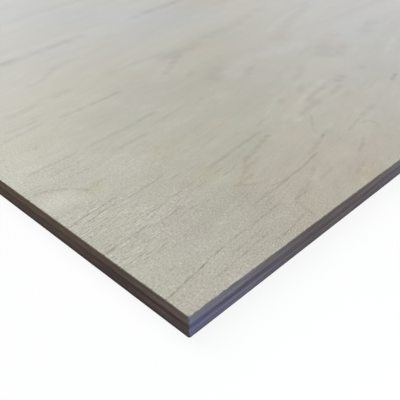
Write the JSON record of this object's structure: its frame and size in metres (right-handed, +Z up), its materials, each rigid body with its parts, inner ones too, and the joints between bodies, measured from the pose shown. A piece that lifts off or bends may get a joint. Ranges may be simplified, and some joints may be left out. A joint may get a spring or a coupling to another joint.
{
  "type": "plywood sheet",
  "caption": "Flat rectangular sheet of pale birch plywood, rotary-cut veneers glued crosswise, with square sawn edges and lightly sanded arrises.",
  "frame": {"origin": "middle of the underside", "axes": "+X along the face grain and the sheet's length, +Y across the face grain, +Z up out of the face"},
  "size_m": [1.22, 0.61, 0.0065],
  "materials": {
    "face_birch": "fine sanded, unfinished",
    "crossband_birch": "sawn edge",
    "core_birch": "sawn edge, end grain",
    "back_birch": "sanded, unfinished"
  },
  "bodies": {
    "root": {"back_veneer": "back_birch", "lower_crossband": "crossband_birch", "core_veneer": "core_birch", "upper_crossband": "crossband_birch", "face_veneer": "face_birch"}
  },
  "joints": []
}
